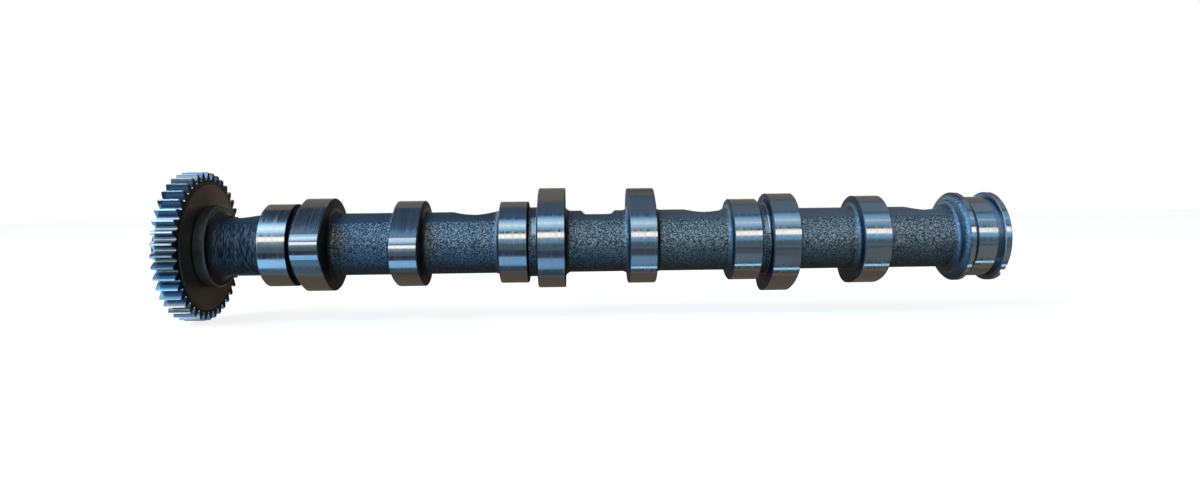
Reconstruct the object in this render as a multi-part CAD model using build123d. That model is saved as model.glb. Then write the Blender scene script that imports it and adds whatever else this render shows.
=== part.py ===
from build123d import *
import os
from math import acos, atan2, cos, hypot, pi, radians, sin, tan

# Camshaft of a three-cylinder engine with two cams for each cylinder, and the
# spur gear that is pressed on its drive end. Millimetres. The shaft turns about
# the X axis and runs from the gear, at -X, to the end flange, at +X. The origin
# is on that axis, in the middle of the first bearing journal. Angles about the
# shaft are in degrees, counted from +Z, straight up, towards -Y.

# ---- the whole shaft ----
CYLINDERS = 3
CYLINDER_PITCH = 88.0        # from one cylinder's journal to the next
CYLINDER_TURN = -120.0       # from one cylinder's cams to the next's
CAST_RADIUS = 11.9           # rough shaft between the machined bands
CAST_FILLET = 2.2            # where the rough shaft meets a journal or a cam
NECK_RADIUS = 13.4           # short thick neck between a journal and its near cam
NECK_FILLET = 0.8
EDGE_CHAMFER = 0.3           # on every ground edge

# ---- journals ----
JOURNAL_RADIUS = 15.75
JOURNAL_WIDTH = 10.7

# ---- cams, measured from their cylinder's journal ----
CAM_WIDTH = 10.5
CAM_CHAMFER = 0.35
CAM_FOOT_INSET = 1.2         # the round foot inside a cam is smaller than its base circle
NEAR_CAM_X = 14.25
FAR_CAM_X = 48.75
# base circle radius, lift, nose radius, angle from the nose to where a flank
# leaves the base circle, and the angle that the first cylinder's nose points at
NEAR_CAM = {"base": 17.75, "lift": 5.3, "nose": 7.7, "flank_turn": 64.0, "points_at": 90.0}
FAR_CAM = {"base": 16.45, "lift": 4.7, "nose": 9.6, "flank_turn": 67.0, "points_at": 101.0}

# ---- thrust bearing and end flange ----
THRUST_RADIUS = 15.55        # narrow journal between two grinding grooves
THRUST_WIDTH = 7.8
THRUST_X = 266.7
GROOVE_RADIUS = 14.7
COLLAR_RADIUS = 17.3         # turned, also the flange's
COLLAR_CAST_RADIUS = 17.65   # before its rim is turned
COLLAR_START_X = 257.5
COLLAR_END_X = 261.4
COLLAR_CORNER = 3.2          # the rough side of the collar has a round rim
COLLAR_FILLET = 2.0
FLANGE_START_X = 272.3
FLANGE_END_X = 275.0
FLANGE_CHAMFER = 0.5         # on its end face
SLOT_WIDTH = 4.0             # slot across the end of the flange
SLOT_DEPTH = 1.9
SLOT_POINTS_AT = 143.0

# ---- drive end ----
SHOULDER_RADIUS = 15.7       # the gear is pressed up to this
SHOULDER_WIDTH = 4.3
SHOULDER_CHAMFER = 0.5
SHOULDER_FILLET = 3.5
GEAR_NECK_RADIUS = 11.55
SEAT_RADIUS = 12.0           # the gear's bore is the same
SEAT_PROUD = 0.6             # the seat comes through the gear by this
SPIGOT_RADIUS = 7.0
SPIGOT_END_X = -47.8
SPIGOT_CHAMFER = 1.0

# ---- gear ----
GEAR_TEETH = 42
GEAR_TIP_RADIUS = 28.35
GEAR_ROOT_RADIUS = 25.2
FLANK_FOOT_RADIUS = 25.6     # below this a flank runs into the round bottom of the gap
PRESSURE_ANGLE = 25.0
BACKLASH = 0.16              # taken off a tooth's thickness at the pitch circle
TOOTH_WIDTH = 7.8
TIP_STOCK = 0.3              # turned off the tips of the cut teeth
TOOTH_ROUND = 0.6            # on the tips, at the end next to the shoulder
TOOTH_CHAMFER = 0.2          # on the tips, at the other end
TOOTH_POINTS_AT = 86.3
TEETH_END_X = -28.8
BOSS_RADIUS = 24.1           # raised turned face on each side
BOSS_HEIGHT = 0.55
BOSS_CHAMFER = 0.5

# ---- cuts in the top of the rough shaft ----
# shallow hollows: lowest point, half of the length, depth, and where a fillet beside it stops it
HOLLOWS = [
    (-17.5, 8.2, 0.95, -20.4, -9.3),
    (72.3, 8.3, 1.15, 64.0, 80.5),
    (162.0, 8.4, 1.1, 153.6, 168.5),
    (249.3, 9.0, 1.4, 240.3, 255.5),
]
FLAT_X = 120.2               # milled flat
FLAT_LENGTH = 10.4
FLAT_DEPTH = 1.45
FLAT_RUN_OUT = 1.3           # length of the slope at each end
FLAT_CORNER = 1.5

# ---- centre holes, on which the shaft is turned and ground ----
CENTRE_MOUTH_RADIUS = 3.2
CENTRE_PILOT_RADIUS = 1.5
CENTRE_CONE_DEPTH = 2.9
CENTRE_DEPTH = 6.0

GEAR_RIGHT_X = TEETH_END_X + BOSS_HEIGHT
GEAR_LEFT_X = TEETH_END_X - TOOTH_WIDTH - BOSS_HEIGHT
SHOULDER_END_X = GEAR_RIGHT_X + SHOULDER_WIDTH
SEAT_END_X = GEAR_LEFT_X - SEAT_PROUD


def across(x):
    """The plane across the shaft at x, with its x along +Y, its y along +Z and its normal along +X."""
    return Plane(origin=(x, 0, 0), x_dir=(0, 1, 0), z_dir=(1, 0, 0))


def pointed(shape, angle):
    """Turn a shape that points along +Y about the shaft, so that it points at angle."""
    return Rotation(90 + angle, 0, 0) * shape


def turned(corners):
    """Revolve an outline about the shaft's axis.

    Each corner is a right angle, (x, radius, finish): a fillet radius above 0,
    a chamfer length below 0, or 0 for a sharp corner.
    """
    points = [(x, radius) for x, radius, _ in corners]
    points = [(points[0][0], 0)] + points + [(points[-1][0], 0)]
    edges = [Line(points[-1], points[0])]
    reached = Vector(*points[0])
    for before, (x, radius, finish), after in zip(points, corners, points[2:]):
        corner = Vector(x, radius)
        back = (Vector(*before) - corner).normalized() * abs(finish)
        ahead = (Vector(*after) - corner).normalized() * abs(finish)
        edges.append(Line(reached, corner + back))
        reached = corner + ahead
        if finish > 0:
            centre = corner + back + ahead
            middle = centre + (corner - centre).normalized() * finish
            edges.append(ThreePointArc(corner + back, middle, reached))
        elif finish < 0:
            edges.append(Line(corner + back, reached))
    edges.append(Line(reached, points[-1]))
    return revolve(make_face(edges), Axis.X)


# ---- cams ----
def cam_outline(base, lift, nose, flank_turn):
    """A cam's outline with its nose along +x: base circle, two convex flanks and nose, all tangent."""
    nose_x = base + lift - nose
    c = cos(radians(flank_turn))
    s = sin(radians(flank_turn))
    # the flank's arc meets the base circle and the nose without a corner
    flank = (nose**2 - base**2 - nose_x**2 + 2 * base * nose_x * c) / (2 * (nose - base + nose_x * c))
    centre = (-(flank - base) * c, -(flank - base) * s)
    leaves_base = (base * c, base * s)
    reach = hypot(nose_x - centre[0], centre[1])
    meets_nose = (nose_x + nose * (nose_x - centre[0]) / reach, -nose * centre[1] / reach)
    start = atan2(meets_nose[1] - centre[1], meets_nose[0] - centre[0])
    middle_turn = (start + radians(flank_turn)) / 2
    middle = (centre[0] + flank * cos(middle_turn), centre[1] + flank * sin(middle_turn))

    def below(point):
        return (point[0], -point[1])

    return make_face(
        [
            ThreePointArc(below(meets_nose), (nose_x + nose, 0), meets_nose),
            ThreePointArc(meets_nose, middle, leaves_base),
            ThreePointArc(leaves_base, (-base, 0), below(leaves_base)),
            ThreePointArc(below(leaves_base), below(middle), below(meets_nose)),
        ]
    )


def cam(x, base, lift, nose, flank_turn, points_at):
    """One cam, with its middle at x."""
    outline = across(x - CAM_WIDTH / 2) * cam_outline(base, lift, nose, flank_turn)
    blank = extrude(outline, CAM_WIDTH)
    rims = blank.edges().filter_by(lambda edge: edge.bounding_box().size.X < 0.001)
    return pointed(chamfer(rims, CAM_CHAMFER), points_at)


def cams():
    """Every cylinder's two cams."""
    shapes = []
    for cylinder in range(CYLINDERS):
        for x, form in ((NEAR_CAM_X, NEAR_CAM), (FAR_CAM_X, FAR_CAM)):
            points_at = form["points_at"] + cylinder * CYLINDER_TURN
            shapes.append(cam(cylinder * CYLINDER_PITCH + x, **{**form, "points_at": points_at}))
    return shapes


# ---- shaft ----
def band(start, end, radius, left, right):
    """The two rim corners of one machined band."""
    return [(start, radius, left), (end, radius, right)]


def drive_end_corners():
    """Spigot, gear seat, shoulder and the neck up to the first journal."""
    return (
        band(SPIGOT_END_X, SEAT_END_X, SPIGOT_RADIUS, -SPIGOT_CHAMFER, NECK_FILLET)
        + band(SEAT_END_X, GEAR_RIGHT_X, SEAT_RADIUS, -EDGE_CHAMFER, 0)
        + band(GEAR_RIGHT_X, SHOULDER_END_X, SHOULDER_RADIUS, -EDGE_CHAMFER, -SHOULDER_CHAMFER)
        + band(SHOULDER_END_X, -JOURNAL_WIDTH / 2, GEAR_NECK_RADIUS, SHOULDER_FILLET, CAST_FILLET)
    )


def cylinder_corners(x, next_x):
    """One cylinder's journal, neck and the round feet of its two cams, up to next_x."""
    journal_end = x + JOURNAL_WIDTH / 2
    near_start, near_end = x + NEAR_CAM_X - CAM_WIDTH / 2, x + NEAR_CAM_X + CAM_WIDTH / 2
    far_start, far_end = x + FAR_CAM_X - CAM_WIDTH / 2, x + FAR_CAM_X + CAM_WIDTH / 2
    near_foot = NEAR_CAM["base"] - CAM_FOOT_INSET
    far_foot = FAR_CAM["base"] - CAM_FOOT_INSET
    last_fillet = CAST_FILLET if next_x < COLLAR_START_X else COLLAR_FILLET
    return (
        band(x - JOURNAL_WIDTH / 2, journal_end, JOURNAL_RADIUS, -EDGE_CHAMFER, -EDGE_CHAMFER)
        + band(journal_end, near_start, NECK_RADIUS, NECK_FILLET, NECK_FILLET)
        + band(near_start, near_end, near_foot, 0, 0)
        + band(near_end, far_start, CAST_RADIUS, CAST_FILLET, CAST_FILLET)
        + band(far_start, far_end, far_foot, 0, 0)
        + band(far_end, next_x, CAST_RADIUS, CAST_FILLET, last_fillet)
    )


def flange_end_corners():
    """Thrust collar, thrust journal between its two grooves, and the end flange."""
    thrust_start = THRUST_X - THRUST_WIDTH / 2
    thrust_end = THRUST_X + THRUST_WIDTH / 2
    rim_chamfer = EDGE_CHAMFER + COLLAR_CAST_RADIUS - COLLAR_RADIUS
    return (
        band(COLLAR_START_X, COLLAR_END_X, COLLAR_CAST_RADIUS, COLLAR_CORNER, -rim_chamfer)
        + band(COLLAR_END_X, thrust_start, GROOVE_RADIUS, 0, 0)
        + band(thrust_start, thrust_end, THRUST_RADIUS, -EDGE_CHAMFER, -EDGE_CHAMFER)
        + band(thrust_end, FLANGE_START_X, GROOVE_RADIUS, 0, 0)
        + band(FLANGE_START_X, FLANGE_END_X, COLLAR_RADIUS, -EDGE_CHAMFER, -FLANGE_CHAMFER)
    )


def rim_cut():
    """Cutter that turns the rough collar's rim down to COLLAR_RADIUS."""
    width = COLLAR_END_X - COLLAR_START_X
    height = 2 * (COLLAR_CAST_RADIUS - COLLAR_RADIUS)
    side = Pos(COLLAR_START_X + width / 2, COLLAR_RADIUS + height / 2) * Rectangle(width, height)
    return revolve(side, Axis.X)


def turned_shaft():
    """All that is round about the shaft's axis."""
    corners = drive_end_corners()
    for cylinder in range(CYLINDERS):
        x = cylinder * CYLINDER_PITCH
        last = cylinder == CYLINDERS - 1
        next_x = COLLAR_START_X if last else x + CYLINDER_PITCH - JOURNAL_WIDTH / 2
        corners += cylinder_corners(x, next_x)
    return turned(corners + flange_end_corners()) - rim_cut()


def hollow(x, half_length, depth, start, end):
    """Cutter for a shallow hollow in the top of the rough shaft, kept between start and end."""
    radius = (half_length**2 + depth**2) / (2 * depth)
    top = CAST_RADIUS if x > 0 else GEAR_NECK_RADIUS
    roller = Pos(x, 0, top - depth + radius) * Rotation(90, 0, 0) * Cylinder(radius, 4 * CAST_RADIUS)
    reach = Pos((start + end) / 2, 0, top) * Box(end - start, 4 * CAST_RADIUS, 4 * depth)
    return roller & reach


def milled_flat():
    """Cutter for the flat, which runs out in a slope at each end."""
    half = FLAT_LENGTH / 2
    floor = CAST_RADIUS - FLAT_DEPTH
    over = CAST_RADIUS + FLAT_DEPTH
    slope = FLAT_RUN_OUT * (over - floor) / FLAT_DEPTH
    side = make_face(
        Polyline(
            (FLAT_X - half, floor),
            (FLAT_X + half, floor),
            (FLAT_X + half + slope, over),
            (FLAT_X - half - slope, over),
            close=True,
        )
    )
    side = fillet(side.vertices().group_by(Axis.Y)[0], FLAT_CORNER)
    return extrude(Plane.XZ * side, 2 * CAST_RADIUS, both=True)


def end_slot():
    """Cutter for the slot across the end of the flange."""
    across_end = Box(2 * SLOT_DEPTH, 4 * COLLAR_RADIUS, SLOT_WIDTH)
    return Pos(FLANGE_END_X, 0, 0) * pointed(across_end, SLOT_POINTS_AT)


def centre_hole(x, inward):
    """Cutter for a centre hole in the end face at x; inward is +1 or -1 along X."""
    steps = [
        (0, 0),
        (0, CENTRE_MOUTH_RADIUS),
        (CENTRE_CONE_DEPTH, CENTRE_PILOT_RADIUS),
        (CENTRE_DEPTH, CENTRE_PILOT_RADIUS),
        (CENTRE_DEPTH + CENTRE_PILOT_RADIUS, 0),
    ]
    outline = Polyline(*[(x + inward * depth, radius) for depth, radius in steps], close=True)
    return revolve(make_face(outline), Axis.X)


def camshaft():
    shaft = turned_shaft() + cams()
    shaft -= [hollow(*place) for place in HOLLOWS]
    shaft -= milled_flat()
    shaft -= end_slot()
    shaft -= [centre_hole(SPIGOT_END_X, 1), centre_hole(FLANGE_END_X, -1)]
    return shaft


# ---- gear ----
def involute(angle):
    return tan(angle) - angle


def tooth_half_angle(radius):
    """Half of the angle that a tooth fills at a radius, in radians."""
    pitch_radius = GEAR_TIP_RADIUS * GEAR_TEETH / (GEAR_TEETH + 2)
    at_pitch = pi / (2 * GEAR_TEETH) - BACKLASH / (2 * pitch_radius)
    pressure = radians(PRESSURE_ANGLE)
    there = acos(pitch_radius * cos(pressure) / radius)
    return at_pitch + involute(pressure) - involute(there)


def polar(radius, angle):
    return (radius * cos(angle), radius * sin(angle))


def tooth_edges(turn):
    """One tooth and the round bottom of the gap after it, with the tooth's middle at turn."""
    over = GEAR_TIP_RADIUS + TIP_STOCK
    heights = (FLANK_FOOT_RADIUS, (FLANK_FOOT_RADIUS + over) / 2, over)
    rise = [polar(r, turn - tooth_half_angle(r)) for r in heights]
    fall = [polar(r, turn + tooth_half_angle(r)) for r in reversed(heights)]
    step = 2 * pi / GEAR_TEETH
    bottom = polar(GEAR_ROOT_RADIUS, turn + step / 2)
    next_foot = polar(FLANK_FOOT_RADIUS, turn + step - tooth_half_angle(FLANK_FOOT_RADIUS))
    return [
        ThreePointArc(*rise),
        Line(rise[-1], fall[0]),
        ThreePointArc(*fall),
        ThreePointArc(fall[-1], bottom, next_foot),
    ]


def timing_gear():
    """Toothed rim with its tips chamfered, a raised face on each side, and the bore."""
    edges = []
    for tooth in range(GEAR_TEETH):
        edges += tooth_edges(2 * pi * tooth / GEAR_TEETH)
    start_x = TEETH_END_X - TOOTH_WIDTH
    teeth = pointed(extrude(across(start_x) * make_face(edges), TOOTH_WIDTH), TOOTH_POINTS_AT)
    rim = band(start_x, TEETH_END_X, GEAR_TIP_RADIUS, -TOOTH_CHAMFER, TOOTH_ROUND)
    boss = band(GEAR_LEFT_X, GEAR_RIGHT_X, BOSS_RADIUS, -BOSS_CHAMFER, -BOSS_CHAMFER)
    bore = band(GEAR_LEFT_X - 1, GEAR_RIGHT_X + 1, SEAT_RADIUS, 0, 0)
    return (teeth & turned(rim)) + turned(boss) - turned(bore)


os.makedirs("parts", exist_ok=True)
export_step(camshaft(), "parts/camshaft.step")
export_step(timing_gear(), "parts/timing_gear.step")
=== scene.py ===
import math
from collections import namedtuple
from types import SimpleNamespace

import bpy
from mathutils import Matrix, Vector


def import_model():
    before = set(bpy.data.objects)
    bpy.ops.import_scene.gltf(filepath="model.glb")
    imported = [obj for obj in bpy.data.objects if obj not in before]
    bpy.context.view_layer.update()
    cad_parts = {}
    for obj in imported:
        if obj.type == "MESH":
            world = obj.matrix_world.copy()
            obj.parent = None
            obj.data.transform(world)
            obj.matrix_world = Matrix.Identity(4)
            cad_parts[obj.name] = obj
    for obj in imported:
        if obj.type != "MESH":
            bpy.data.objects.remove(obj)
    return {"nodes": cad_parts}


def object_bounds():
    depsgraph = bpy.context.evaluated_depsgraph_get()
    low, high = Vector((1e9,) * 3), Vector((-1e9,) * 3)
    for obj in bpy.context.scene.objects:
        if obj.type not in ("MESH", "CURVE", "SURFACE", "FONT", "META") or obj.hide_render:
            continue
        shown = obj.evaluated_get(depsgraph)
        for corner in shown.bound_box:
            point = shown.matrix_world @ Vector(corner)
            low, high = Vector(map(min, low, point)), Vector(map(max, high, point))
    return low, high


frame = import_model()
cad_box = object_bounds()

# Camshaft with its timing gear, in metres. The shaft turns about the X axis and runs
# from the gear, at -X, to the end flange, at +X. The scene adds no shapes: it gives the
# CAD's two pieces their materials and sets up the studio and the camera. Colours and
# light were set for the photo's view, and some colours hold painted light and shade.
MM = 0.001
WHITE = (1.0, 1.0, 1.0, 1.0)

# mm is the place in millimetres, height is z over the radius, and facing and outward are
# the normal's parts along X and along the radius
Place = namedtuple("Place", "mm x radius height facing outward")


# ---- node helpers ----
class Nodes:
    """Builds one material's node tree. A value is a number, a tuple or another node's output."""

    def __init__(self, name):
        self.material = bpy.data.materials.new(name)
        self.material.use_nodes = True
        self.tree = self.material.node_tree
        self.tree.nodes.clear()

    def put(self, socket, value):
        if isinstance(value, bpy.types.NodeSocket):
            self.tree.links.new(value, socket)
        else:
            socket.default_value = value

    def node(self, kind, inputs=(), **settings):
        made = self.tree.nodes.new(kind)
        for key, value in settings.items():
            setattr(made, key, value)
        for key, value in dict(inputs).items():
            self.put(made.inputs[key], value)
        return made

    def math(self, operation, a, b=0.0, c=0.0):
        return self.node("ShaderNodeMath", {0: a, 1: b, 2: c}, operation=operation).outputs[0]

    def step(self, value, limits):
        """0 at the first limit, 1 at the second, smooth between them."""
        settings = {"Value": value, "From Min": limits[0], "From Max": limits[1]}
        made = self.node("ShaderNodeMapRange", settings, interpolation_type="SMOOTHSTEP")
        return made.outputs["Result"]

    def ramp(self, value, limits):
        """0 at the first limit, 1 at the second, straight between them."""
        inputs = {"Value": value, "From Min": limits[0], "From Max": limits[1]}
        return self.node("ShaderNodeMapRange", inputs).outputs["Result"]

    def within(self, value, span, edge):
        """1 inside the span, 0 beyond its soft edges."""
        low, high = span
        return self.both(self.step(value, (low - edge, low)), self.step(value, (high + edge, high)))

    def within_any(self, value, spans, edge):
        first, second = (self.within(value, span, edge) for span in spans)
        return self.either(first, second)

    def both(self, a, b):
        return self.math("MULTIPLY", a, b)

    def either(self, a, b):
        return self.math("MAXIMUM", a, b)

    def but_not(self, a, b):
        return self.math("MULTIPLY", a, self.math("SUBTRACT", 1.0, b))

    def mix(self, factor, a, b):
        """A number between a and b."""
        made = self.node("ShaderNodeMix", {0: factor, 2: a, 3: b}, data_type="FLOAT")
        return made.outputs[0]

    def blend(self, factor, a, b):
        """A colour between a and b."""
        made = self.node("ShaderNodeMix", {0: factor, 6: a, 7: b}, data_type="RGBA")
        return made.outputs[2]

    def times(self, vector, scale):
        """A vector or colour times another, part by part."""
        made = self.node("ShaderNodeVectorMath", {0: vector, 1: scale}, operation="MULTIPLY")
        return made.outputs[0]

    def scaled(self, vector, amount):
        """A vector or colour times a number."""
        made = self.node("ShaderNodeVectorMath", {0: vector, 3: amount}, operation="SCALE")
        return made.outputs[0]

    def noise(self, vector, scale, detail=2.0, roughness=0.5):
        inputs = {"Vector": vector, "Scale": scale, "Detail": detail, "Roughness": roughness}
        return self.node("ShaderNodeTexNoise", inputs).outputs["Fac"]

    def cells(self, vector, scale):
        inputs = {"Vector": vector, "Scale": scale}
        made = self.node("ShaderNodeTexVoronoi", inputs, feature="SMOOTH_F1")
        return made.outputs["Distance"]

    def bump(self, height, distance):
        inputs = {"Height": height, "Distance": distance, "Strength": 1.0}
        return self.node("ShaderNodeBump", inputs).outputs["Normal"]

    def around_shaft(self):
        """The direction round the shaft, in which machined surfaces are marked."""
        return self.node("ShaderNodeTangent", direction_type="RADIAL", axis="X").outputs[0]

    def place(self):
        point = self.node("ShaderNodeTexCoord").outputs["Object"]
        mm = self.times(point, (1 / MM, 1 / MM, 1 / MM))
        x, y, z = self.node("ShaderNodeSeparateXYZ", {0: mm}).outputs
        radius = self.math("SQRT", self.math("ADD", self.both(y, y), self.both(z, z)))
        normal = self.node("ShaderNodeNewGeometry").outputs["Normal"]
        facing, normal_y, normal_z = self.node("ShaderNodeSeparateXYZ", {0: normal}).outputs
        outward = self.math("ADD", self.both(normal_y, y), self.both(normal_z, z))
        outward = self.math("DIVIDE", outward, radius)
        return Place(mm, x, radius, self.math("DIVIDE", z, radius), facing, outward)

    def finish(self, inputs):
        shader = self.node("ShaderNodeBsdfPrincipled", inputs)
        output = self.node("ShaderNodeOutputMaterial")
        self.tree.links.new(shader.outputs[0], output.inputs["Surface"])
        return self.material


# ---- where the surfaces are: limits between which a mask goes from 0 to 1 ----
SIDE_FACE = (0.88, 0.93)            # facing, either way
# along the shaft, in millimetres
GEAR_SEAT = (-24.0, -24.1)
SHOULDER_END = (-20.3, -20.4)
NECK = (0.0, -9.0)                  # from the first journal towards the gear
END_FACES = ((274.4, 274.6), (-38.0, -38.2))
COLLAR_SIDE = (256.0, 259.3)        # the collar's rough round side
COLLAR = (252.0, 254.0)
SHARP = 0.05
RECESSES = ((93.4, 97.2), (181.4, 185.2))   # smooth gaps beside journals 2 and 3
RECESS_EDGE = 0.1
# a painted highlight in these gaps, which is a fault
RECESS_GLINTS = ((95.0, 96.5), (183.0, 184.5))
RECESS_GLINT_EDGE = 0.2
RECESS_GLINT_HEIGHT = (0.30, 0.62)
RECESS_GLINT_FADE = 0.12
# a painted brown reflection beside the first cylinder's cams, from the cams' sides
CAM_REFLECTIONS = ((20.5, 22.5), (55.0, 57.0))
CAM_REFLECTION_EDGE = 5.0
CAM_REFLECTION_HEIGHT = (-0.35, 0.35)
CAM_REFLECTION_FADE = 0.45
# other limits
PROUD = (14.25, 14.35)              # radius of the journals and cams
STRIP = (0.70, 0.72)                # height of the smoother strip along the top
UPPER = (-0.9, 0.1)                 # height
GEARWARD_FILLET = (-0.15, -0.45)    # facing
GEARWARD_FACE = (-0.80, -0.97)
FLANGEWARD = (0.05, 0.7)
RECESS_FACING = (0.3, -0.1)
TURNED = (0.97, 0.85)               # outward
PLAIN = (0.75, 0.97)                # outward, the rough shaft away from its fillets


def shaft_zones(n, at):
    """Masks of the shaft's surfaces."""
    side = n.step(n.math("ABSOLUTE", at.facing), SIDE_FACE)
    ground = n.but_not(n.step(at.radius, PROUD), side)
    ground = n.but_not(ground, n.within(at.x, COLLAR_SIDE, SHARP))
    z = SimpleNamespace()
    z.beyond_collar = n.step(at.x, (COLLAR_SIDE[1], COLLAR_SIDE[1] + SHARP))
    z.machined = n.either(n.either(ground, z.beyond_collar), n.step(at.x, GEAR_SEAT))
    z.shoulder = n.step(at.x, SHOULDER_END)
    z.turned = n.step(at.outward, TURNED)
    z.neck = n.step(at.x, NECK)
    z.collar = n.step(at.x, COLLAR)
    z.strip = n.step(at.height, STRIP)
    z.upper = n.step(at.height, UPPER)
    z.gearward_fillet = n.step(at.facing, GEARWARD_FILLET)
    recess = n.within_any(at.x, RECESSES, RECESS_EDGE)
    z.smooth = n.either(z.gearward_fillet, n.both(recess, n.step(at.facing, RECESS_FACING)))
    return z


# ---- grain of the cast skin and marks of the grinding wheel ----
PEBBLES_PER_MM = 0.85
GRAIN_PER_MM = 1.9
STREAKS_PER_MM = 2.6
ACROSS_NECK = (1.0, 0.16, 0.16)     # streaks of the neck run round it
PEBBLE_SHARE = 0.5
FINE_SHARE = 0.9
RINGS_PER_MM = 2.4
RING_STRETCH = (1.0, 0.02, 0.02)
BANDS_PER_MM = 0.9
BAND_STRETCH = (1.0, 0.03, 0.03)


def shaft_grain(n, at, z):
    """Noises that colour, roughness and relief share."""
    g = SimpleNamespace()
    streaks = n.noise(n.times(at.mm, ACROSS_NECK), STREAKS_PER_MM, 3.0)
    fine = n.noise(at.mm, GRAIN_PER_MM, 3.0)
    pebbles = n.both(n.cells(at.mm, PEBBLES_PER_MM), PEBBLE_SHARE)
    g.fine = n.mix(z.neck, fine, streaks)
    g.relief = n.mix(z.neck, n.math("ADD", pebbles, n.both(fine, FINE_SHARE)), streaks)
    g.rings = n.noise(n.times(at.mm, RING_STRETCH), RINGS_PER_MM, 3.0, 0.7)
    g.bands = n.noise(n.times(at.mm, BAND_STRETCH), BANDS_PER_MM)
    return g


# ---- the shaft's colours ----
CAST = (0.094, 0.110, 0.124, 1.0)
CAST_LIGHT = (0.265, 0.284, 0.292, 1.0)
CAST_DARK = (0.030, 0.037, 0.044, 1.0)
STRIP_IRON = (0.125, 0.145, 0.172, 1.0)
# painted light and shade on the sides: brown towards the flange, blue fillets, a highlight on the
# collar and navy towards the gear
SHADED_BROWN_SIDE = (0.038, 0.033, 0.026, 1.0)
LIT_FILLET_BLUE = (0.100, 0.145, 0.200, 1.0)
COLLAR_HIGHLIGHT = (0.200, 0.280, 0.370, 1.0)
SHADED_NAVY = (0.022, 0.036, 0.062, 1.0)
GROUND = (0.48, 0.50, 0.52, 1.0)
GROUND_WARM = (0.52, 0.50, 0.48, 1.0)
# painted shade on the turned edges of the ground bands
SHADED_GROUND_EDGE = (0.050, 0.060, 0.072, 1.0)
TURNED_IRON = (0.160, 0.205, 0.260, 1.0)
SHOULDER_IRON = (0.140, 0.134, 0.126, 1.0)
# tints of the cast skin, all painted light: blue towards the gear, warm towards the flange, and a
# brown reflection beside the cams
BLUE_LIGHT_TINT = (0.86, 0.97, 1.09, 1.0)
WARM_LIGHT_TINT = (1.0, 0.97, 0.89, 1.0)
BROWN_REFLECTION_TINT = (1.22, 1.06, 0.84, 1.0)

# bright grain, partly painted glints
GLINT = (0.50, 0.64)                # of the fine noise
PIT = (0.50, 0.38)
GLINTS_BELOW = 0.3                  # share of the glints left on the underside
STRIP_COVER = 0.85
LIT_FILLET_COVER = 0.6
SIDE_COVER = 0.85

# painted shade and light: the skin is darker towards the gear, where the gear shades it, and
# lighter towards the flange
GEAR_SHADE_TONE = 0.44
GEAR_SHADE_FADE = (-18.0, 25.0)
STRIP_SHADE_TONE = 0.6
STRIP_SHADE_FADE = (60.0, 170.0)
PAINTED_LIGHT_LIFTS = ((1.3, (20.0, 70.0)), (1.6, (60.0, 230.0)))
# painted light and shade on the fillets
FILLET_LIGHT_TONES = (0.6, 1.2)           # away from the gear, towards it
TINT_FADE = (35.0, 130.0)


def cast_light_and_shade(n, at, z):
    # painted shade towards the gear and on the top strip, painted light on the upper side towards
    # the flange, and on the fillets painted light towards the gear and shade away from it
    tone = n.mix(n.step(at.x, GEAR_SHADE_FADE), GEAR_SHADE_TONE, 1.0)
    shaded_strip = n.but_not(z.strip, n.step(at.x, STRIP_SHADE_FADE))
    tone = n.both(tone, n.mix(shaded_strip, 1.0, STRIP_SHADE_TONE))
    for lift, fade in PAINTED_LIGHT_LIFTS:
        tone = n.both(tone, n.mix(n.both(z.upper, n.step(at.x, fade)), 1.0, lift))
    return n.mix(n.step(at.outward, PLAIN), n.mix(z.gearward_fillet, *FILLET_LIGHT_TONES), tone)


def cast_tint(n, at):
    # a painted brown reflection beside the first cylinder's cams
    cam_reflection = n.within_any(at.x, CAM_REFLECTIONS, CAM_REFLECTION_EDGE)
    cam_reflection = n.both(cam_reflection, n.within(at.height, CAM_REFLECTION_HEIGHT, CAM_REFLECTION_FADE))
    # painted light: blue towards the gear, warm towards the flange
    tint = n.blend(n.step(at.x, TINT_FADE), BLUE_LIGHT_TINT, WARM_LIGHT_TINT)
    return n.blend(cam_reflection, tint, BROWN_REFLECTION_TINT)


def cast_colour(n, at, z, g):
    # painted glints, fewer on the underside as painted shade
    glint = n.both(n.step(g.fine, GLINT), n.mix(z.upper, GLINTS_BELOW, 1.0))
    cast = n.blend(glint, CAST, CAST_LIGHT)
    cast = n.blend(n.step(g.fine, PIT), cast, CAST_DARK)
    cast = n.blend(n.both(z.strip, STRIP_COVER), cast, STRIP_IRON)
    cast = n.times(cast, n.scaled(cast_tint(n, at), cast_light_and_shade(n, at, z)))
    # fillets and side faces in painted light and shade: blue fillets and navy faces towards the
    # gear, a painted highlight on the collar, brown faces towards the flange
    cast = n.blend(n.both(z.gearward_fillet, LIT_FILLET_COVER), cast, LIT_FILLET_BLUE)
    collar = n.both(z.collar, z.gearward_fillet)
    cast = n.blend(collar, cast, n.blend(glint, LIT_FILLET_BLUE, COLLAR_HIGHLIGHT))
    gearward = n.but_not(n.step(at.facing, GEARWARD_FACE), z.collar)
    cast = n.blend(n.both(gearward, SIDE_COVER), cast, n.blend(glint, SHADED_NAVY, LIT_FILLET_BLUE))
    flangeward = n.step(at.facing, FLANGEWARD)
    cast = n.blend(n.both(flangeward, SIDE_COVER), cast, SHADED_BROWN_SIDE)
    # the painted highlight: the shader and the lights should give it instead
    bright = n.within_any(at.x, RECESS_GLINTS, RECESS_GLINT_EDGE)
    bright = n.both(bright, n.within(at.height, RECESS_GLINT_HEIGHT, RECESS_GLINT_FADE))
    return n.blend(bright, cast, GROUND)


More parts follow.
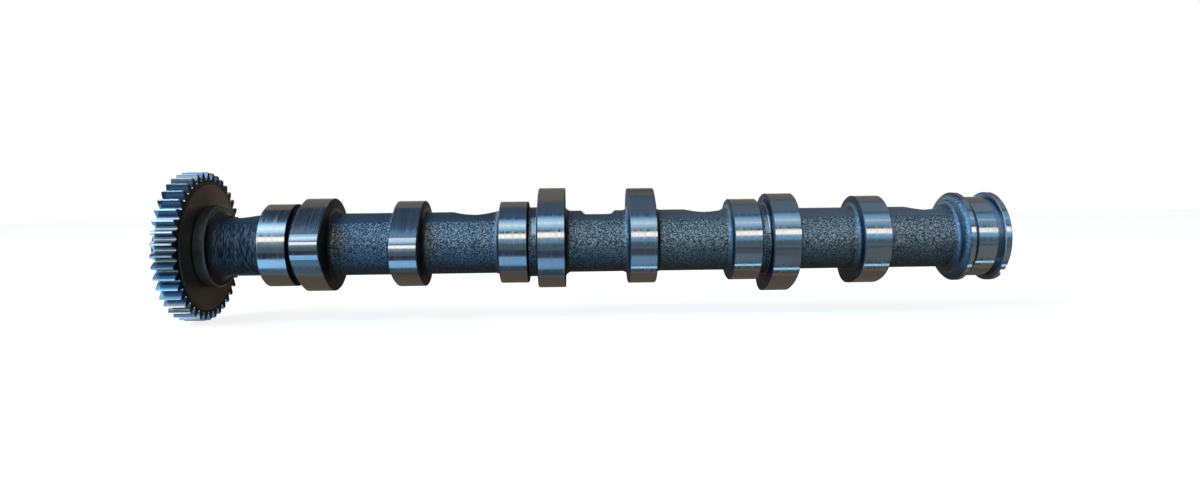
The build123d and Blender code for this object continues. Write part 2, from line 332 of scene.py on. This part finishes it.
def machined_colour(n, at, z, g):
    metal = n.blend(g.bands, GROUND, GROUND_WARM)
    end = n.either(*(n.step(at.x, limits) for limits in END_FACES))
    # turned edges up to the collar in painted shade
    edge = n.blend(z.beyond_collar, SHADED_GROUND_EDGE, TURNED_IRON)
    metal = n.blend(n.but_not(z.turned, end), metal, edge)
    return n.blend(z.shoulder, metal, SHOULDER_IRON)


# ---- the shaft's roughness and relief ----
CAST_ROUGH = (0.55, 0.30)           # pits, glints
STRIP_ROUGH = 0.42
SMOOTH_ROUGH = 0.32
GROUND_ROUGH = (0.06, 0.20)
RING_CONTRAST = (0.35, 0.65)
TURNED_ROUGH = 0.38
CAST_RELIEF = 0.30                  # millimetres
STRIP_RELIEF = 0.08
SMOOTH_RELIEF = 0.19
RING_RELIEF = 0.012
SHAFT_ANISOTROPY = 0.7


def shaft_roughness(n, z, g):
    cast = n.mix(z.strip, n.mix(g.fine, *CAST_ROUGH), STRIP_ROUGH)
    cast = n.mix(z.smooth, cast, SMOOTH_ROUGH)
    ground = n.mix(n.step(g.rings, RING_CONTRAST), *GROUND_ROUGH)
    ground = n.mix(n.either(z.turned, z.shoulder), ground, TURNED_ROUGH)
    return n.mix(z.machined, cast, ground)


def shaft_relief(n, z, g):
    depth = n.mix(z.smooth, n.mix(z.strip, CAST_RELIEF, STRIP_RELIEF), SMOOTH_RELIEF)
    cast = n.both(g.relief, n.mix(z.machined, depth, 0.0))
    rings = n.both(g.rings, n.mix(z.machined, 0.0, RING_RELIEF))
    return n.bump(n.math("ADD", cast, rings), MM)


def shaft_iron():
    n = Nodes("camshaft_iron")
    at = n.place()
    z = shaft_zones(n, at)
    g = shaft_grain(n, at, z)
    colour = n.blend(z.machined, cast_colour(n, at, z, g), machined_colour(n, at, z, g))
    return n.finish({
        "Base Color": colour,
        "Metallic": 1.0,
        "Roughness": shaft_roughness(n, z, g),
        "Anisotropic": SHAFT_ANISOTROPY,
        "Tangent": n.around_shaft(),
        "Normal": shaft_relief(n, z, g),
    })


# ---- the gear's steel ----
WEB = (0.125, 0.097, 0.070, 1.0)
WEB_LIGHT = (0.175, 0.134, 0.098, 1.0)
# painted shade on the web's chamfers and the tooth ends, and a painted blue reflection on the
# flanks
SHADED_WEB_EDGE = (0.050, 0.042, 0.036, 1.0)
SHADED_TOOTH_END = (0.030, 0.027, 0.024, 1.0)
LAND = (0.66, 0.68, 0.69, 1.0)
SHADED_BLUE_FLANK = (0.19, 0.25, 0.31, 1.0)
TOOTH_FOOT = (24.3, 24.5)           # radius
CHAMFER = (0.96, 0.85)              # facing, either way
FLANK_SLOPE = (0.85, 0.60)          # outward
LATHE_MARKS_PER_MM = 1.6
LATHE_STRETCH = (0.15, 1.0, 1.0)
CLOUDS_PER_MM = 0.09
WEB_ROUGH = (0.40, 0.50)
TOOTH_ROUGH = (0.30, 0.17)          # land, flank
GEAR_ANISOTROPY = 0.8


def gear_steel():
    n = Nodes("timing_gear_steel")
    at = n.place()
    flatness = n.math("ABSOLUTE", at.facing)
    outer = n.step(at.radius, TOOTH_FOOT)
    teeth = n.but_not(outer, n.step(flatness, SIDE_FACE))
    flank = n.step(at.outward, FLANK_SLOPE)
    web = n.blend(n.noise(at.mm, CLOUDS_PER_MM, 3.0), WEB, WEB_LIGHT)
    # chamfers and tooth ends in painted shade, flanks in a painted blue reflection
    web = n.blend(n.step(flatness, CHAMFER), web, SHADED_WEB_EDGE)
    lathe = n.noise(n.times(at.mm, LATHE_STRETCH), LATHE_MARKS_PER_MM)
    side = n.blend(outer, web, SHADED_TOOTH_END)
    return n.finish({
        "Base Color": n.blend(teeth, side, n.blend(flank, LAND, SHADED_BLUE_FLANK)),
        "Metallic": 1.0,
        "Roughness": n.mix(teeth, n.mix(lathe, *WEB_ROUGH), n.mix(flank, *TOOTH_ROUGH)),
        "Anisotropic": GEAR_ANISOTROPY,
        "Tangent": n.around_shaft(),
    })


for node, material in (("camshaft", shaft_iron()), ("timing_gear", gear_steel())):
    for slot in frame["nodes"][node].material_slots:
        slot.material = material


# ---- floor and world ----
FLOOR_DROP = 0.0005
FLOOR_SIZE = 12.0
FLOOR_LEVEL = cad_box[0].z - FLOOR_DROP
FLOOR_COLOUR = (0.85, 0.85, 0.85, 1.0)
FLOOR_WHITE = 0.8                   # share of plain white, so that the background is white


def seen_directly(n):
    """1 for camera, glossy and transmission rays, which see the white background."""
    path = n.node("ShaderNodeLightPath").outputs
    seen = n.either(path["Is Camera Ray"], path["Is Glossy Ray"])
    return n.either(seen, path["Is Transmission Ray"])


def sheet(name, corners, material):
    """A strip of faces between pairs of corners, which isn't part of the object."""
    mesh = bpy.data.meshes.new(name)
    rows = len(corners) // 2
    faces = [(2 * i, 2 * i + 1, 2 * i + 3, 2 * i + 2) for i in range(rows - 1)]
    mesh.from_pydata(corners, [], faces)
    mesh.materials.append(material)
    made = bpy.data.objects.new(name, mesh)
    bpy.context.scene.collection.objects.link(made)
    return made


def floor():
    n = Nodes("floor_white")
    matt = n.node("ShaderNodeBsdfDiffuse", {"Color": FLOOR_COLOUR}).outputs[0]
    white = n.node("ShaderNodeEmission", {"Color": WHITE, "Strength": 1.0}).outputs[0]
    share = n.both(seen_directly(n), FLOOR_WHITE)
    mixed = n.node("ShaderNodeMixShader", {0: share, 1: matt, 2: white}).outputs[0]
    n.node("ShaderNodeOutputMaterial", {"Surface": mixed})
    half = FLOOR_SIZE / 2
    corners = [(x, y, FLOOR_LEVEL) for x in (-half, half) for y in (-half, half)]
    sheet("floor", corners, n.material)


def world():
    made = bpy.data.worlds.new("studio")
    bpy.context.scene.world = made
    made.use_nodes = True
    background = made.node_tree.nodes["Background"]
    background.inputs["Color"].default_value = WHITE
    background.inputs["Strength"].default_value = 1.0


# ---- cards that only reflections see ----
# An arch over the shaft, a base just above the floor and two ends glow in soft-edged
# bands, which polished iron shows as bright and dark stripes. They were placed by where
# the photo's camera sees them mirrored, and other views show them in other places.
# A band is: start, end, softness, colour, and its strength at the two ends of its group,
# where a strength that falls below 0 is none.
CARD_FROM = -1.8
CARD_TO = 1.2
ARCH_RADIUS = 1.0
ARCH_STEPS = 24
FADE = 0.45                         # what is left of the light far out past the gear
FADE_ENDS = (-0.95, -0.68)
# the arch's bands are angles above the front horizon, in degrees
ARCH_ENDS = (-0.6, 0.9)
ARCH_BANDS = [
    (-12.0, 7.0, 8.0, (0.52, 0.84, 0.96), 0.30, 0.20),
    (-6.0, 12.0, 6.0, (0.26, 0.55, 1.00), 0.00, 0.50),
    (-2.0, 12.0, 6.0, (0.05, 0.50, 1.00), 0.00, 0.28),
    (13.0, 23.5, 2.0, (1.00, 0.98, 0.93), 2.20, 1.80),
    (34.0, 63.0, 7.0, (0.28, 0.62, 1.00), 1.10, 0.62),
    (42.0, 55.0, 9.0, (0.88, 1.00, 0.90), 1.00, -0.05),
    (47.0, 50.0, 2.0, (1.00, 0.92, 0.85), 0.45, 0.50),
    (62.0, 98.0, 6.0, (0.45, 0.75, 1.00), 1.00, -6.50),
    (66.0, 70.0, 14.0, (0.12, 0.42, 1.00), 0.24, 0.24),
    (70.0, 106.0, 8.0, (1.00, 0.75, 0.10), -0.06, 0.10),
    (80.0, 112.0, 8.0, (0.35, 0.60, 1.00), 0.04, 0.42),
    (120.0, 165.0, 6.0, (1.00, 0.96, 0.88), 0.20, 0.20),
    (127.0, 145.0, 3.0, (1.00, 0.95, 0.86), 2.40, -15.2),
    (148.0, 178.0, 4.0, (0.50, 0.78, 1.00), 1.00, -6.50),
    (165.0, 172.0, 6.0, (1.00, 0.97, 0.90), 0.55, 0.55),
    (171.0, 185.0, 6.0, (1.00, 0.94, 0.82), 0.16, 0.13),
]
# more light high up behind, only near the arch's two ends
BACK_ENDS = ((0.85, 1.05), (-0.65, -0.90))
BACK_BANDS = [
    (118.0, 148.0, 8.0, (0.50, 0.72, 1.00), 0.00, 0.75),
    (154.0, 163.0, 3.0, (1.00, 0.98, 0.93), 0.00, 1.60),
    (186.0, 200.0, 8.0, (0.50, 0.72, 1.00), 0.00, 0.60),
]
# the base's bands are distances behind the shaft's axis in millimetres, on a base
# turned a little, so that they grow by BASE_SLANT for each metre along the shaft
BASE_SLANT = 15.0
BASE_ENDS = (-0.05, 0.29)
BASE_BANDS = [
    (-3000.0, -110.0, 30.0, (0.50, 0.80, 1.00), 0.20, 0.20),
    (-110.0, -28.0, 8.0, (0.45, 0.65, 1.00), 0.06, 0.18),
    (-65.0, -30.0, 10.0, (1.00, 1.00, 0.55), -0.10, 0.11),
    (-44.0, -25.0, 4.0, (0.28, 0.60, 1.00), 1.80, -0.58),
    (-20.0, -14.0, 3.0, (0.45, 0.70, 1.00), 0.27, -0.07),
    (-20.0, -12.0, 2.0, (1.00, 0.84, 0.66), -0.10, 0.14),
    (-18.5, -11.0, 1.5, (1.00, 0.95, 0.86), 3.60, -37.2),
    (-12.0, 3000.0, 3.0, (1.00, 0.84, 0.66), 0.14, 0.13),
    (-8.0, 60.0, 4.0, (0.45, 0.70, 1.00), 1.80, -19.0),
]
# one bright line, which starts between the second cylinder's cams
LINE_ENDS = (0.105, 0.135)
LINE_BANDS = [(-21.0, -19.3, 0.9, (0.36, 0.72, 1.00), 0.00, 2.00)]
# the end cards glow evenly
END_CARDS = (
    ("gear_end_card", CARD_FROM, (0.36, 0.67, 1.07)),
    ("flange_end_card", CARD_TO, (0.26, 0.25, 0.24)),
)
ALL_ROUND = (-200.0, 200.0, 1.0)


def elevation(n, x, y, z):
    return n.math("DEGREES", n.math("ARCTAN2", z, n.both(y, -1.0)))


def depth(n, x, y, z):
    return n.math("MULTIPLY_ADD", y, 1 / MM, n.both(x, -BASE_SLANT))


def card(name, corners, groups, along):
    """along makes the value in which the bands are given."""
    n = Nodes(name)
    point = n.node("ShaderNodeTexCoord").outputs["Object"]
    x, y, z = n.node("ShaderNodeSeparateXYZ", {0: point}).outputs
    place = along(n, x, y, z)
    fade = n.mix(n.step(x, FADE_ENDS), FADE, 1.0)
    total = None
    for ends, bands in groups:
        share = n.ramp(x, ends)
        for start, end, soft, colour, first, last in bands:
            strength = n.either(n.math("MULTIPLY_ADD", share, last - first, first), 0.0)
            amount = n.both(n.both(n.within(place, (start, end), soft), strength), fade)
            inputs = {"Color": (*colour, 1.0), "Strength": amount}
            glow = n.node("ShaderNodeEmission", inputs).outputs[0]
            if total is not None:
                glow = n.node("ShaderNodeAddShader", {0: total, 1: glow}).outputs[0]
            total = glow
    n.node("ShaderNodeOutputMaterial", {"Surface": total})
    made = sheet(name, corners, n.material)
    made.visible_camera = False
    made.visible_diffuse = False
    made.visible_shadow = False


def cards():
    arch = []
    for step in range(ARCH_STEPS + 1):
        angle = math.pi * step / ARCH_STEPS
        y = -ARCH_RADIUS * math.cos(angle)
        z = ARCH_RADIUS * math.sin(angle) + FLOOR_LEVEL
        arch += [(CARD_FROM, y, z), (CARD_TO, y, z)]
    groups = [(ARCH_ENDS, ARCH_BANDS)] + [(ends, BACK_BANDS) for ends in BACK_ENDS]
    card("arch_card", arch, groups, elevation)

    sides = (-ARCH_RADIUS, ARCH_RADIUS)
    level = FLOOR_LEVEL + FLOOR_DROP / 2
    base = [(x, y, level) for y in sides for x in (CARD_FROM, CARD_TO)]
    card("base_card", base, [(BASE_ENDS, BASE_BANDS), (LINE_ENDS, LINE_BANDS)], depth)

    for name, x, glow in END_CARDS:
        corners = [(x, y, z) for y in sides for z in (FLOOR_LEVEL, ARCH_RADIUS)]
        card(name, corners, [(ARCH_ENDS, [(*ALL_ROUND, glow, 1.0, 1.0)])], elevation)


# ---- lamp ----
# It stands outside the arch, so it lights rough faces, and polished ones don't mirror it.
# No real lamp could do this: the arch stops mirror rays and lets shadow rays pass.
LAMP_PLACE = (-1.1, -0.75, 0.94)
LAMP_TARGET = (0.11, 0.0, 0.0)
LAMP_SIZE = (1.25, 1.0)
LAMP_POWER = 75.0
LAMP_COLOUR = (0.40, 0.70, 1.0)


def lamp():
    data = bpy.data.lights.new("key", "AREA")
    data.shape = "RECTANGLE"
    data.size, data.size_y = LAMP_SIZE
    data.energy = LAMP_POWER
    data.color = LAMP_COLOUR
    made = bpy.data.objects.new("key", data)
    bpy.context.scene.collection.objects.link(made)
    made.location = LAMP_PLACE
    aim = Vector(LAMP_TARGET) - Vector(LAMP_PLACE)
    made.rotation_euler = aim.to_track_quat("-Z", "Y").to_euler()
    made.visible_camera = False


# ---- camera, solved from the photo ----
PHOTO = (1200.0, 499.0)
FOCAL = 778.2                       # pixels
CENTRE = (600.8, 211.45)            # the optical axis, in pixels
SENSOR = 36.0
CAMERA_PLACE = (0.111148, -0.303085, 0.011569)
CAMERA_TURN = (89.9766, 0.6997, -1.9167)    # degrees
CLIP_START = 0.01


def camera():
    data = bpy.data.cameras.new("camera")
    data.sensor_width = SENSOR
    data.lens = FOCAL / PHOTO[0] * SENSOR
    data.shift_x = (PHOTO[0] / 2 - CENTRE[0]) / PHOTO[0]
    data.shift_y = (CENTRE[1] - PHOTO[1] / 2) / PHOTO[0]
    data.clip_start = CLIP_START
    made = bpy.data.objects.new("camera", data)
    bpy.context.scene.collection.objects.link(made)
    made.location = CAMERA_PLACE
    made.rotation_euler = [math.radians(angle) for angle in CAMERA_TURN]
    bpy.context.scene.camera = made


floor()
world()
cards()
lamp()
camera()
bpy.context.scene.view_settings.view_transform = "Standard"
